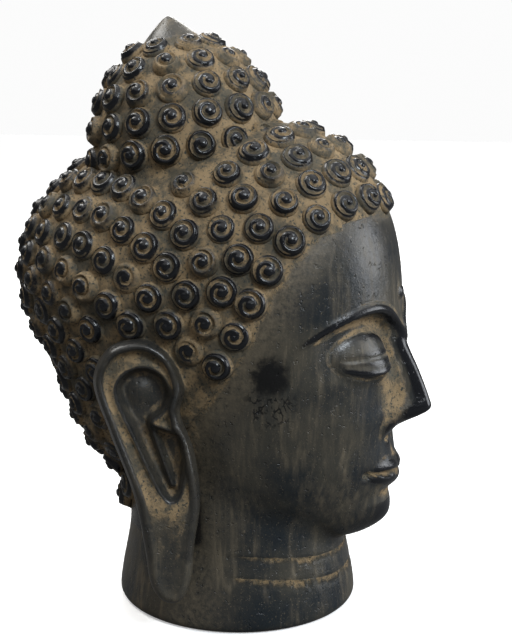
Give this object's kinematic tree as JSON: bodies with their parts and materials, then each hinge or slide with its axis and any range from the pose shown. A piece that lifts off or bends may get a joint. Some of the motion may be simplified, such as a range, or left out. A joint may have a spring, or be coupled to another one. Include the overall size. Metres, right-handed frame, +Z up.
{
  "type": "bronze buddha head",
  "caption": "Cast bronze head with snail-curl hair, a pointed topknot, long earlobes and a short neck that ends in a flat round foot.",
  "frame": {"origin": "centre of the neck's flat foot, on the ground", "axes": "+Z up through the head to the topknot's point, -Y towards the front of the face, +X to the head's own left"},
  "size_m": [0.1982, 0.2674, 0.36],
  "materials": {
    "patinated_bronze": "dark olive to near-black patina, satin with glossy high spots, tan dust in the hollows"
  },
  "bodies": {
    "root": {"buddha_head": "patinated_bronze"}
  },
  "joints": []
}
